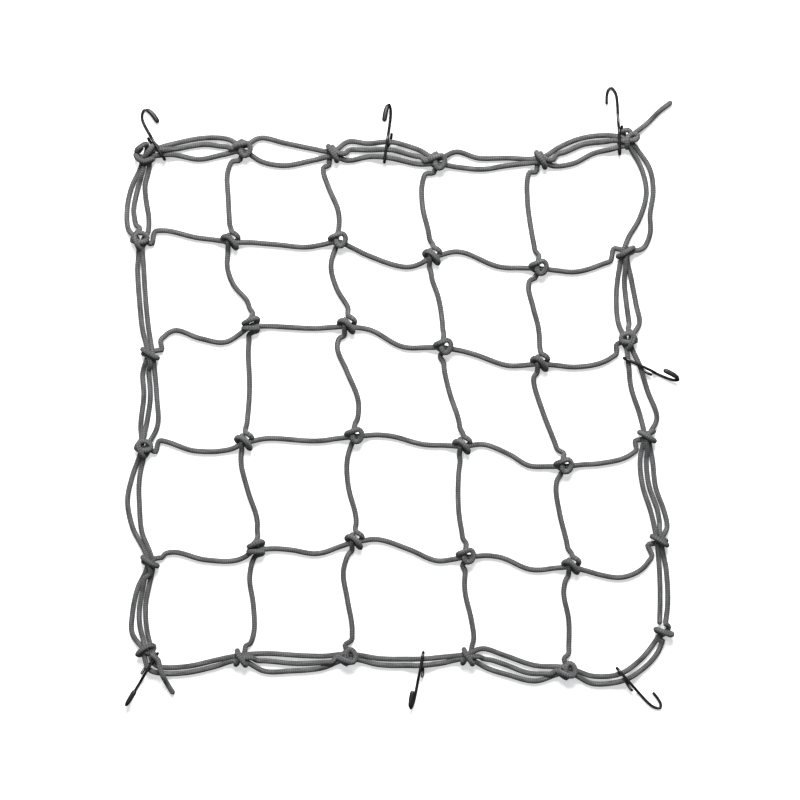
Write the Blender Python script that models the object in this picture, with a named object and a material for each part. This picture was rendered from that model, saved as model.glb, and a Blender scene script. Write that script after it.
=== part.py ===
"""Elastic cargo net, laid out flat: a square mesh of knotted shock cord with wire hooks round its edge.

Two border strands run all the way round. One long cord goes up and down as the four columns, another goes
to and fro as the four rows, and both run along the border between one column or row and the next, where
they make a third strand. Every crossing is a knot, built as a bead with a flat foot. Lengths are in
millimetres from the net's middle until a mesh is made. The surface that the net lies on is z = 0.
"""

import math

import bpy
from mathutils import Vector

MM = 0.001
CORD_RADIUS = 2.1
WIRE_RADIUS = 1.15
CAP_RADIUS = 2.0
GAP = 0.35
STEP = 19.0
FLAT = math.cos(math.pi / 8)  # an eight-sided tube's flat is this far from its line
KNOT_TRIM = 6.9  # a cord that meets another's knot stops this far from its middle
CORNER_TRIM = 8.2  # and a side's strands this far from a corner's knot
SIDE_SPACING = 2 * CORD_RADIUS + 0.7  # a third strand starts where it fits between the other two
TRIM_STEP = 0.5
INNER_OFFSET = 3.0  # the inner border strand passes a knot's middle on this side
CENTRE = Vector((0.69, 1.25, 0.0))  # the middle of the whole net's box

# A knot along the cord that carries it: how far along, and how many cord radii it is there.
KNOT_PROFILE = ((-6.4, 1.1), (-2.9, 2.6), (2.9, 2.6), (6.4, 1.1))

EYE_GAP = 0.9
EYE_LIFT = 2 * WIRE_RADIUS + EYE_GAP  # a border strand lies this high on the lower wire of a hook's eye
LIFT_FULL = 3.0  # all of it as far as this from the wire, and none past LIFT_END
LIFT_END = 15.0
LIFT_STEPS = (-13.5, -3, 3, 13.5)

CLIMB = 2 * CORD_RADIUS + 0.6  # a row or column climbs this far, to pass over a border strand to its knot
CLIMB_FULL = 4.8  # all of it as near as this to the strand's line, and none past CLIMB_END
CLIMB_END = 19.0
CLIMB_STEPS = (5.0, 13.0)

# The knots, left to right, a line for each row from the top.
KNOTS = (
    ((-204, 197), (-126, 202), (-54, 198), (29, 192), (112, 193), (182, 208)),
    ((-210, 127), (-136, 127), (-50, 128), (25, 115), (110, 106), (181, 117)),
    ((-202, 36), (-120, 60), (-43, 60), (34, 43), (111, 30), (183, 47)),
    ((-207, -39), (-125, -33), (-37, -28), (49, -36), (130, -52), (198, -29)),
    ((-202, -130), (-116, -118), (-37, -112), (52, -124), (136, -132), (208, -112)),
    ((-202, -203), (-128, -208), (-42, -207), (53, -207), (133, -218), (210, -185)),
)
LAST = len(KNOTS) - 1

# The places that a row's cord passes between its knots: a line for each span, left to right.
ROWS = (
    (
        ((-193, 135), (-161, 129)),
        ((-101, 124), (-73, 122)),
        ((-26, 115), (7, 106)),
        ((47, 118), (79, 106)),
        ((139, 102), (163, 109)),
    ),
    (
        ((-182, 55), (-161, 49), (-140, 46)),
        ((-93, 58), (-65, 57)),
        ((-23, 55), (2, 42)),
        ((59, 36), (87, 27)),
        ((139, 26), (164, 31)),
    ),
    (
        ((-193, -33), (-165, -41), (-138, -40)),
        ((-105, -31), (-65, -33)),
        ((-9, -29), (19, -36)),
        ((67, -36), (87, -44), (103, -53)),
        ((159, -51), (182, -45)),
    ),
    (
        ((-183, -122), (-157, -128), (-130, -128)),
        ((-89, -120), (-66, -123)),
        ((-17, -112), (7, -120), (30, -129)),
        ((79, -126), (105, -136)),
        ((159, -140), (177, -142), (193, -135)),
    ),
)

# The same for the columns, top to bottom.
COLUMNS = (
    (
        ((-138, 184), (-138, 160)),
        ((-139, 108), (-134, 92), (-122, 77)),
        ((-122, 40), (-121, 12), (-122, -8)),
        ((-128, -48), (-122, -74), (-115, -96)),
        ((-121, -142), (-118, -164), (-118, -188)),
    ),
    (
        ((-62, 185), (-58, 170), (-50, 150)),
        ((-56, 107), (-51, 88), (-42, 72)),
        ((-51, 43), (-43, 22), (-34, -2)),
        ((-43, -48), (-42, -70), (-36, -94)),
        ((-46, -136), (-43, -159), (-39, -184)),
    ),
    (
        ((18, 177), (17, 156), (22, 134)),
        ((24, 100), (30, 81), (33, 62)),
        ((34, 28), (39, 5), (46, -16)),
        ((46, -60), (46, -88), (49, -108)),
        ((51, -152), (56, -175), (58, -192)),
    ),
    (
        ((102, 180), (101, 160), (104, 136)),
        ((102, 92), (105, 76), (110, 56)),
        ((106, 17), (112, -6), (122, -32)),
        ((124, -68), (127, -92), (132, -112)),
        ((130, -152), (134, -176), (134, -199)),
    ),
)

# The border's strands, side by side: each side's knots, the way to the net's inside, then the places that
# its outer, inner and third strands pass in each span. A third strand is there in every other span.
SIDES = {
    "top": {
        "knots": tuple(KNOTS[0]),
        "inward": (0, -1),
        "outer": (
            ((-181, 204.5), (-157, 209), (-138, 208)),
            ((-113, 209), (-93, 205), (-71, 200.5)),
            ((-42.5, 206), (-26.5, 204.6), (-7, 205.4), (13.5, 199.8)),
            ((44, 198), (61.5, 193), (84, 193)),
            ((127, 202), (145, 209), (164, 211)),
        ),
        "inner": (
            ((-183, 195.5), (-161, 192), (-143, 195.5)),
            ((-111, 190), (-93, 187), (-71, 191)),
            ((-42.5, 191), (-25, 194), (-5.5, 192.2), (13.5, 188.2)),
            ((47, 185.5), (65, 184), (85.5, 187)),
            ((123, 186.5), (138.5, 189), (154.5, 197), (169, 200)),
        ),
        "third": (
            ((-181, 200), (-157, 203.8), (-141, 202)),
            (),
            ((-41, 199.5), (-26.5, 199.3), (-7, 199), (13.5, 194)),
            (),
            ((129, 197), (146.5, 204), (164, 206)),
        ),
    },
    "right": {
        "knots": tuple(row[LAST] for row in KNOTS),
        "inward": (-1, 0),
        "outer": (
            ((198.5, 185), (201.5, 166), (199, 148.5), (199, 132.5), (193, 120.5)),
            ((184, 96.5), (188, 75.5), (190.5, 61)),
            ((190.5, 27), (197, 7), (204.5, -15)),
            ((201, -48.5), (203.5, -70), (210.5, -90), (212.5, -102)),
            ((212, -136.5), (213, -164.5)),
        ),
        "inner": (
            ((192, 185), (196, 165), (190.5, 144.5), (181.5, 129)),
            ((173, 95.5), (172, 79.5), (173.5, 62)),
            ((181.5, 28.5), (184, 9), (191, -12.5)),
            ((191, -48.5), (193, -68.5), (200, -91)),
            ((206.5, -136.5), (207, -164.5)),
        ),
        "third": (
            (),
            ((178.5, 95.5), (180, 78), (182, 62)),
            (),
            ((196, -48.5), (198.2, -69), (205, -89)),
            (),
        ),
    },
    "bottom": {
        "knots": tuple(KNOTS[LAST]),
        "inward": (0, 1),
        "outer": (
            ((-203.5, -211.5), (-200, -216), (-189, -219), (-169, -218), (-149, -213.5)),
            ((-109.5, -217), (-89, -217), (-63, -214.5)),
            ((-17, -212), (7, -212.5), (31, -211)),
            ((69.5, -215), (85.5, -220), (107, -225)),
            ((153, -227), (175, -225), (193.5, -215), (206, -200.5)),
        ),
        "inner": (
            ((-198.5, -208.5), (-196, -212), (-189, -214), (-169, -213), (-149, -208.5)),
            ((-106.5, -203), (-81, -204.5), (-61, -205)),
            ((-17, -207), (7, -207.3), (31, -206)),
            ((65, -199), (83, -204.5), (107, -212.5)),
            ((153, -221), (173, -219.5), (189, -210), (200.5, -197)),
        ),
        "third": (
            (),
            ((-107, -209), (-83, -211), (-61, -210)),
            (),
            ((69, -207.5), (85, -212.5), (103, -218.8)),
            (),
        ),
    },
    "left": {
        "knots": tuple(row[0] for row in KNOTS),
        "inward": (1, 0),
        "outer": (
            ((-208, 185), (-215.5, 169), (-219, 150), (-217.5, 135.5)),
            ((-210.5, 103.5), (-209, 79.5), (-206.5, 55.5)),
            ((-206.3, 22), (-205.5, 3.5), (-208, -20.5)),
            ((-214.5, -60.5), (-218.5, -80.5), (-214.5, -102)),
            ((-210.5, -151), (-214.5, -170), (-214.5, -187.5)),
        ),
        "inner": (
            ((-201.5, 183.5), (-204.5, 171), (-203.5, 158), (-201.5, 145), (-202.5, 132.5)),
            ((-205.5, 103.5), (-204, 79.5), (-201.5, 55.5)),
            ((-196.7, 22), (-195, 1), (-194.5, -20.5)),
            ((-209, -63), (-209, -84.5), (-207, -106)),
            ((-201, -147.5), (-204, -163.5), (-203, -184.5)),
        ),
        "third": (
            ((-205, 187), (-210.2, 169), (-213.6, 151), (-211.5, 138.5)),
            (),
            ((-201.5, 22), (-200.3, 2), (-202, -12)),
            (),
            ((-206, -150), (-209, -167), (-208.5, -182)),
        ),
    },
}

# The two free ends of the long cords: from a corner knot, and how high each place is above the cord's
# lying height. The lower one crosses over the border.
TAILS = {
    "tail_top_right": ((187, 213, 0), (197, 221, 0), (206, 230, 0), (215, 237, 0)),
    "tail_bottom_left": (
        (-193.2, -207.5, 9), (-192, -213.5, 9), (-190, -219.5, 7), (-187, -226.5, 1.5), (-182.5, -234, 0)
    ),
}

# The hooks. end: the eye's end inside the border. heading: the way the shank points, in degrees from +X.
# eye: how long the eye is. length: from that end to the outside of the bend. mouth: between the middles of
# the shank and the tip. roll: how far the bend has turned up from lying flat. side: 1 if the tip is on the
# shank's left, -1 if on its right. capped: whether the tip still has its moulded cap.
HOOKS = {
    "hook_top_left": dict(
        end=(-188, 190.5), heading=121, eye=19, length=45, mouth=10.5, roll=0, side=-1, capped=True
    ),
    "hook_top_middle": dict(
        end=(-13.5, 188), heading=82, eye=21, length=48.5, mouth=8, roll=55, side=1, capped=True
    ),
    "hook_top_right": dict(
        end=(174.5, 194.5), heading=92, eye=20, length=56, mouth=8.5, roll=0, side=1, capped=False
    ),
    "hook_right": dict(
        end=(176.8, 33.5), heading=-25, eye=23, length=49, mouth=8, roll=54, side=1, capped=True
    ),
    "hook_bottom_middle": dict(
        end=(18, -200.5), heading=-100.5, eye=17, length=48, mouth=8, roll=70, side=-1, capped=True
    ),
    "hook_bottom_right": dict(
        end=(171.5, -213.5), heading=-48.5, eye=19, length=49.5, mouth=8.5, roll=0, side=1, capped=False
    ),
    "hook_bottom_left": dict(
        end=(-193.6, -201.6), heading=-121.5, eye=18, length=50.5, mouth=8, roll=88, side=1, capped=True
    ),
}
EYE_TOP = EYE_LIFT + 2 * CORD_RADIUS + EYE_GAP + WIRE_RADIUS
WIRE_LOW = 1.2
EYE_STEPS = 5
# The bend: how far back from its outside, and the share of the mouth that the wire has crossed there.
BEND = ((21, 0), (11, 0.02), (5, 0.12), (1.6, 0.33), (0, 0.57), (1.7, 0.82), (6, 0.97), (13, 1.02))
CAP_LENGTH = 12.0


def clear_scene():
    for thing in list(bpy.data.objects):
        bpy.data.objects.remove(thing, do_unlink=True)


def make_material(name, colour, roughness, metallic=0.0):
    material = bpy.data.materials.new(name)
    material.use_nodes = True
    shader = material.node_tree.nodes["Principled BSDF"]
    shader.inputs["Base Color"].default_value = (*colour, 1.0)
    shader.inputs["Roughness"].default_value = roughness
    shader.inputs["Metallic"].default_value = metallic
    material.diffuse_color = (*colour, 1.0)
    return material


def smooth_line(points, per_span=14):
    """A centripetal Catmull-Rom line through the points, which may be flat or solid."""
    points = [Vector(p) for p in points]
    points = [2 * points[0] - points[1], *points, 2 * points[-1] - points[-2]]
    line = [points[1]]
    for a, b, c, d in zip(points, points[1:], points[2:], points[3:]):
        t1 = (b - a).length ** 0.5
        t2 = t1 + (c - b).length ** 0.5
        t3 = t2 + (d - c).length ** 0.5
        for i in range(1, per_span + 1):
            t = t1 + (t2 - t1) * i / per_span
            ab = a.lerp(b, t / t1)
            bc = b.lerp(c, (t - t1) / (t2 - t1))
            cd = c.lerp(d, (t - t2) / (t3 - t2))
            abc = ab.lerp(bc, t / t2)
            bcd = bc.lerp(cd, (t - t1) / (t3 - t1))
            line.append(abc.lerp(bcd, (t - t1) / (t2 - t1)))
    return line


class Route:
    """A smooth line that can be read at any distance along it, also a little past its ends."""

    def __init__(self, points):
        self.line = smooth_line(points)
        self.along = [0.0]
        for a, b in zip(self.line, self.line[1:]):
            self.along.append(self.along[-1] + (b - a).length)
        self.length = self.along[-1]

    def at(self, distance):
        i = 1
        while i < len(self.along) - 1 and self.along[i] < distance:
            i += 1
        start, end = self.along[i - 1], self.along[i]
        return self.line[i - 1].lerp(self.line[i], (distance - start) / (end - start))

    def nearest(self, point):
        gaps = [(p - point).length for p in self.line]
        return self.along[gaps.index(min(gaps))]


def spread(start, end, wanted):
    """Distances from start to end: the wanted ones, and between them steps no longer than STEP."""
    fixed = sorted({start, end, *(w for w in wanted if start < w < end)})
    kept = [fixed[0]]
    for distance in fixed[1:]:
        if distance - kept[-1] < 1.5 and distance != end:
            continue
        count = max(1, math.ceil((distance - kept[-1]) / STEP))
        first = kept[-1]
        kept += [first + (distance - first) * (i + 1) / count for i in range(count)]
    return kept


def hook_frame(hook):
    """A hook's end, the way it points, and the way to its left."""
    angle = math.radians(hook["heading"])
    ahead = Vector((math.cos(angle), math.sin(angle)))
    return Vector(hook["end"]), ahead, Vector((-ahead.y, ahead.x))


def lift_at(place):
    """How far a border strand is held up here, where it lies on the lower wire of a hook's eye."""
    lift = 0.0
    for hook in HOOKS.values():
        end, ahead, left = hook_frame(hook)
        offset = place - end
        past = max(0.0, -offset.dot(ahead), offset.dot(ahead) - hook["eye"])
        distance = math.hypot(past, offset.dot(left))
        share = min(1.0, max(0.0, (LIFT_END - distance) / (LIFT_END - LIFT_FULL)))
        lift = max(lift, EYE_LIFT * share * share * (3 - 2 * share))
    return lift


def climb_at(place, strands):
    """How far a row or column has climbed here to pass over the border's strands."""
    distance = min((place - p).length for strand in strands for p in strand.line)
    share = min(1.0, max(0.0, (CLIMB_END - distance) / (CLIMB_END - CLIMB_FULL)))
    return CLIMB * share * share * (3 - 2 * share)


def eye_crossings(route):
    """Distances along a border strand at which its lift over a hook's eye is drawn."""
    found = []
    for hook in HOOKS.values():
        end, ahead, left = hook_frame(hook)
        offsets = [(place - end, along) for place, along in zip(route.line, route.along)]
        inside = [(abs(o.dot(left)), along) for o, along in offsets if 0 < o.dot(ahead) < hook["eye"]]
        if inside and min(inside)[0] < LIFT_FULL:
            found += [min(inside)[1] + step for step in LIFT_STEPS]
    return found


def tube(name, points, radii, material, sides=8):
    """A closed tube with a flat underneath, through the points, with its own radius at each."""
    curve = bpy.data.curves.new(name, "CURVE")
    curve.dimensions = "3D"
    curve.twist_mode = "Z_UP"
    curve.bevel_depth = 1.0 * MM
    curve.bevel_resolution = (sides - 4) // 2
    curve.use_fill_caps = True
    spline = curve.splines.new("POLY")
    spline.points.add(len(points) - 1)
    for spot, place, radius in zip(spline.points, points, radii):
        spot.co = (*((place - CENTRE) * MM), 1.0)
        spot.radius = radius
        spot.tilt = math.pi / sides
    curve.materials.append(material)
    thing = bpy.data.objects.new(name, curve)
    bpy.context.scene.collection.objects.link(thing)
    return thing


def mesh_from(name, thing):
    """The same shape as a mesh object, in place of a curve."""
    bpy.context.view_layer.update()
    graph = bpy.context.evaluated_depsgraph_get()
    mesh = bpy.data.meshes.new_from_object(thing.evaluated_get(graph))
    bpy.data.objects.remove(thing, do_unlink=True)
    thing = bpy.data.objects.new(name, mesh)
    bpy.context.scene.collection.objects.link(thing)
    return thing


def lying_height(radius):
    """The height of a tube's line when its flat underneath is on the surface."""
    return radius * FLAT


def cord(name, route, start, end, material, knots=(), lifted=False, strands=()):
    """A cord lying on the surface from start to end along its route, with a knot at each distance in knots.

    A lifted one is a border strand, held up by the hooks' eyes. One with strands climbs over those.
    """
    wanted = [knot + step for knot in knots for step, _ in KNOT_PROFILE]
    if lifted:
        wanted += [d for d in eye_crossings(route) if all(abs(d - knot) > 8 for knot in knots)]
    if strands:
        wanted += [start + step for step in CLIMB_STEPS] + [end - step for step in CLIMB_STEPS]
    points, radii = [], []
    for distance in spread(start, end, wanted):
        radius = CORD_RADIUS * knot_swell(distance, knots)
        flat = route.at(distance)
        height = lying_height(CORD_RADIUS)
        if lifted:
            height += lift_at(flat)
        if strands:
            height += climb_at(flat, strands)
        points.append(Vector((flat.x, flat.y, max(height, lying_height(radius)))))
        radii.append(radius)
    return tube(name, points, radii, material)


def knot_swell(distance, knots):
    """How many cord radii the cord is here."""
    swell = 1.0
    for knot in knots:
        for (a, low), (b, high) in zip(KNOT_PROFILE, KNOT_PROFILE[1:]):
            if a <= distance - knot <= b:
                share = (distance - knot - a) / (b - a)
                swell = max(swell, low + (high - low) * share)
    return swell


def knots_and_places(knots, spans):
    """A route's points in order: each knot, and the places between it and the next."""
    points = [Vector(knots[0])]
    for knot, span in zip(knots[1:], spans):
        points += [Vector(place) for place in span]
        points.append(Vector(knot))
    return points


def strands_of(side):
    """The routes of a side's outer and inner strands."""
    inward = Vector(side["inward"])
    inner_knots = [Vector(knot) + inward * INNER_OFFSET for knot in side["knots"]]
    outer = Route(knots_and_places(side["knots"], side["outer"]))
    return outer, Route(knots_and_places(inner_knots, side["inner"]))


def first_clear(route, distance, step, strands, spacing):
    """The first distance along a route, going by step, that is as far as spacing from every strand."""
    while any((route.at(distance) - p).length < spacing for strand in strands for p in strand.line):
        distance += step
    return distance


def make_side(name, side, material, with_corners):
    """One side of the border: its outer strand with the knots on it, and its inner strand through them."""
    outer, inner = strands_of(side)
    knots = [outer.nearest(Vector(knot)) for knot in side["knots"]]
    if with_corners:
        reach = KNOT_PROFILE[-1][0]
        start, end, inner_start, inner_end = -reach, outer.length + reach, 0.0, inner.length
    else:
        knots = knots[1:-1]
        start, end = CORNER_TRIM, outer.length - CORNER_TRIM
        inner_start, inner_end = CORNER_TRIM, inner.length - CORNER_TRIM
    body = mesh_from(name, cord(name, outer, start, end, material, knots, lifted=True))
    strand = cord(name + "_inner", inner, inner_start, inner_end, material, lifted=True)
    strand = mesh_from(name + "_inner", strand)
    strand.hide_render = True
    strand.display_type = "WIRE"
    union = body.modifiers.new("inner strand", "BOOLEAN")
    union.operation = "UNION"
    union.object = strand


def make_runs(name, side, material):
    """The third strand of one side, where a column's or row's cord runs along the border to the next."""
    strands = strands_of(side)
    for span, places in enumerate(side["third"]):
        if not places:
            continue
        route = Route([side["knots"][span], *places, side["knots"][span + 1]])
        start = first_clear(route, CORNER_TRIM, TRIM_STEP, strands, SIDE_SPACING)
        end = first_clear(route, route.length - CORNER_TRIM, -TRIM_STEP, strands, SIDE_SPACING)
        cord(f"{name}_{span + 1}", route, start, end, material, lifted=True)


def make_column(index, material):
    knots = [row[index + 1] for row in KNOTS]
    route = Route(knots_and_places(knots, COLUMNS[index]))
    held = [route.nearest(Vector(knot)) for knot in knots[1:-1]]
    strands = strands_of(SIDES["top"]) + strands_of(SIDES["bottom"])
    end = route.length - KNOT_TRIM
    cord(f"column_{index + 1}", route, KNOT_TRIM, end, material, held, strands=strands)


def make_row(index, material):
    """A row's cord, a span at a time between the columns' knots."""
    for span, places in enumerate(ROWS[index]):
        ends = KNOTS[index + 1][span], KNOTS[index + 1][span + 1]
        route = Route([ends[0], *places, ends[1]])
        strands = {0: strands_of(SIDES["left"]), LAST - 1: strands_of(SIDES["right"])}.get(span, ())
        name = f"row_{index + 1}_span_{span + 1}"
        cord(name, route, KNOT_TRIM, route.length - KNOT_TRIM, material, strands=strands)


def make_tail(name, places, material):
    route = Route([Vector(place) for place in places])
    points = [route.at(distance) for distance in spread(0.0, route.length, ())]
    points = [place + Vector((0, 0, lying_height(CORD_RADIUS))) for place in points]
    tube(name, points, [CORD_RADIUS] * len(points), material)


def hook_points(hook):
    """The wire's line: from its cut end beside the shank, round the border in the eye, out to the bend and tip."""
    end, ahead, left = hook_frame(hook)
    eye = hook["eye"]
    roll = math.radians(hook["roll"])
    across = Vector((*(left * hook["side"] * math.cos(roll)), math.sin(roll)))

    def place(along, beside, height):
        flat = end + ahead * along + left * beside
        return Vector((flat.x, flat.y, height))

    eye_radius = (EYE_TOP - WIRE_LOW) / 2
    eye_middle = (EYE_TOP + WIRE_LOW) / 2
    beside = -hook["side"] * (2 * WIRE_RADIUS + GAP)
    points = [place(eye + 4, beside, 4.4), place(eye + 1, beside, 2.6)]
    points += [place(eye - 4, beside * 0.7, WIRE_LOW), place(eye - 9, 0, WIRE_LOW)]
    for step in range(EYE_STEPS + 1):
        turn = math.pi * step / EYE_STEPS
        along = WIRE_RADIUS + eye_radius * (1 - math.sin(turn))
        points.append(place(along, 0, eye_middle - eye_radius * math.cos(turn)))
    points += [place(eye - 6, 0, EYE_TOP), place(eye, 0, EYE_TOP - 0.6), place(eye + 6, 0, 3.9)]
    for back, share in BEND:
        flat = place(hook["length"] - WIRE_RADIUS - back, 0, WIRE_LOW)
        points.append(flat + across * share * hook["mouth"])
    return points


def make_hook(name, hook, material):
    """A bent wire. A capped one swells at its tip to the size of the moulded cap."""
    line = hook_points(hook)
    left_over = 0.0
    radii = []
    for here, after in zip(reversed(line), [None, *reversed(line)]):
        left_over += (here - after).length if after else 0.0
        in_cap = hook["capped"] and left_over < CAP_LENGTH
        radii.append(CAP_RADIUS if in_cap else WIRE_RADIUS)
    radii.reverse()
    raised = [Vector((p.x, p.y, max(p.z, r * 1.04))) for p, r in zip(line, radii)]
    tube(name, raised, radii, material, sides=6)


def main():
    clear_scene()
    cord_sheath = make_material("cord_sheath", (0.035, 0.035, 0.037), 0.85)
    coated_wire = make_material("coated_wire", (0.008, 0.008, 0.008), 0.25)
    for name, side in SIDES.items():
        make_side(f"border_{name}", side, cord_sheath, with_corners=name in ("top", "bottom"))
        make_runs(f"run_{name}", side, cord_sheath)
    for index in range(len(COLUMNS)):
        make_column(index, cord_sheath)
    for index in range(len(ROWS)):
        make_row(index, cord_sheath)
    for name, places in TAILS.items():
        make_tail(name, places, cord_sheath)
    for name, hook in HOOKS.items():
        make_hook(name, hook, coated_wire)


main()
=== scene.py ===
"""Elastic cargo net: knotted shock cord with coated wire hooks, laid out flat on a studio floor.

Two border strands run round the edge. One long cord goes up and down as the four columns and another to and
fro as the four rows, and both run along the border between one column or row and the next. Each crossing is
a knot: the column's cord is tied round the row's, and round the border's strands at the edge.
Lengths in the tables are in millimetres from the net's middle, and meshes are in metres.
"""

import math

import bpy
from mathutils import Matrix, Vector


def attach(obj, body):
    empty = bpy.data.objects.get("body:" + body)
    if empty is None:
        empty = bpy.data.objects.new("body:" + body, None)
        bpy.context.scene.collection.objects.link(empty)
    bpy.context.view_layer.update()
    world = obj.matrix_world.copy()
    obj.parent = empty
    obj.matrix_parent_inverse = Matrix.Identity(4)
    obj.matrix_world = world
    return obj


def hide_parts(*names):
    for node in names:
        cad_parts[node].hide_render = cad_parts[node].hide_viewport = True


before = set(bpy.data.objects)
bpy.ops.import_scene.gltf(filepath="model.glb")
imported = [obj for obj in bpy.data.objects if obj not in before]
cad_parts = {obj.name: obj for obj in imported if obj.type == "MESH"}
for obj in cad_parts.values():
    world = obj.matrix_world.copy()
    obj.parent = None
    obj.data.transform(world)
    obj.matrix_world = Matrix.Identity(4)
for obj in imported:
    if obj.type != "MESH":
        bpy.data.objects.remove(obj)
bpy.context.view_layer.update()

bl_info = {
    "name": "Cargo net",
    "version": (1, 0, 0),
    "blender": (4, 5, 0),
    "location": "3D View > Sidebar > Cargo net",
    "description": "Builds a knotted elastic cargo net with wire hooks",
    "category": "Object",
}

MM = 0.001
RADIUS = 2.1  # the shock cord
WIRE_RADIUS = 1.15
CENTRE = Vector((0.69, 1.25, 0.0))  # the middle of the whole net's box

# How finely the cords and the wire are made.
SIDES = 14
WIRE_SIDES = 14
CAP_SIDES = 16
RING_STEP = 1.7
WIRE_STEP = 1.1
LINE_STEPS = 14  # the steps between two points of a cord's way from knot to knot
TURN_STEPS = 8  # the same where a knot's turns are in the line
END_STEP = 0.3  # a cut end's rings, in radii: how far apart, and how wide
END_WIDTHS = (0.9, 0.62, 0.3)

# How the cords lie at the knots.
KNOT_REACH = 9.0  # a knot's own turns take this much of the cords on each side of its middle,
BORDER_ROOM = 6.0  # this much more where a cord leaves the border,
INNER_ROOM = 4.0  # this much more at a column's knot inside the net,
RUN_ROOM = 4.0  # and this much more at the ends of a third strand
THROUGH_REACH = 3.5  # a row's cord is carried on from this far off a knot's middle to the next span
CORNER_REACH = 7.0  # the border strands turn a corner between the places this far from its knot
INNER_OFFSET = 3.9  # the inner border strand passes a knot's middle on this side
CARRIED_HEIGHT = 5.0  # the line of a cord that runs through a knot, as far as CARRIED_FULL from its middle
CARRIED_FULL = 4.0
CARRIED_END = 14.0
ROW_DIP = 1.6  # a knot's turns pull the row's cord this far toward the bottom, and not at all past DIP_END
DIP_END = 16.0
SPAN_STEP = 6.0
FINE_STEP = 0.8 * SPAN_STEP  # for cords that also rise and fall
STACK_SPACING = 1.94  # cords that lie on each other, from middle to middle, in radii

# The knots, left to right, a line for each row from the top.
KNOTS = (
    ((-204, 197), (-126, 202), (-54, 198), (29, 192), (112, 193), (182, 208)),
    ((-210, 127), (-136, 127), (-50, 128), (25, 115), (110, 106), (181, 117)),
    ((-202, 36), (-120, 60), (-43, 60), (34, 43), (111, 30), (183, 47)),
    ((-207, -39), (-125, -33), (-37, -28), (49, -36), (130, -52), (198, -29)),
    ((-202, -130), (-116, -118), (-37, -112), (52, -124), (136, -132), (208, -112)),
    ((-202, -203), (-128, -208), (-42, -207), (53, -207), (133, -218), (210, -185)),
)
LAST = len(KNOTS) - 1

# The places that a row's cord passes between its knots: a line for each span, left to right.
ROWS = (
    (
        ((-193, 135), (-161, 129)),
        ((-101, 124), (-73, 122)),
        ((-26, 115), (7, 106)),
        ((47, 118), (79, 106)),
        ((139, 102), (163, 109)),
    ),
    (
        ((-182, 55), (-161, 49), (-140, 46)),
        ((-93, 58), (-65, 57)),
        ((-23, 55), (2, 42)),
        ((59, 36), (87, 27)),
        ((139, 26), (164, 31)),
    ),
    (
        ((-193, -33), (-165, -41), (-138, -40)),
        ((-105, -31), (-65, -33)),
        ((-9, -29), (19, -36)),
        ((67, -36), (87, -44), (103, -53)),
        ((159, -51), (182, -45)),
    ),
    (
        ((-183, -122), (-157, -128), (-130, -128)),
        ((-89, -120), (-66, -123)),
        ((-17, -112), (7, -120), (30, -129)),
        ((79, -126), (105, -136)),
        ((159, -140), (177, -142), (193, -135)),
    ),
)

# The same for the columns, top to bottom.
COLUMNS = (
    (
        ((-138, 184), (-138, 160)),
        ((-139, 108), (-134, 92), (-122, 77)),
        ((-122, 40), (-121, 12), (-122, -8)),
        ((-128, -48), (-122, -74), (-115, -96)),
        ((-121, -142), (-118, -164), (-118, -188)),
    ),
    (
        ((-62, 185), (-58, 170), (-50, 150)),
        ((-56, 107), (-51, 88), (-42, 72)),
        ((-51, 43), (-43, 22), (-34, -2)),
        ((-43, -48), (-42, -70), (-36, -94)),
        ((-46, -136), (-43, -159), (-39, -184)),
    ),
    (
        ((18, 177), (17, 156), (22, 134)),
        ((24, 100), (30, 81), (33, 62)),
        ((34, 28), (39, 5), (46, -16)),
        ((46, -60), (46, -88), (49, -108)),
        ((51, -152), (56, -175), (58, -192)),
    ),
    (
        ((102, 180), (101, 160), (104, 136)),
        ((102, 92), (105, 76), (110, 56)),
        ((106, 17), (112, -6), (122, -32)),
        ((124, -68), (127, -92), (132, -112)),
        ((130, -152), (134, -176), (134, -199)),
    ),
)

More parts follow.
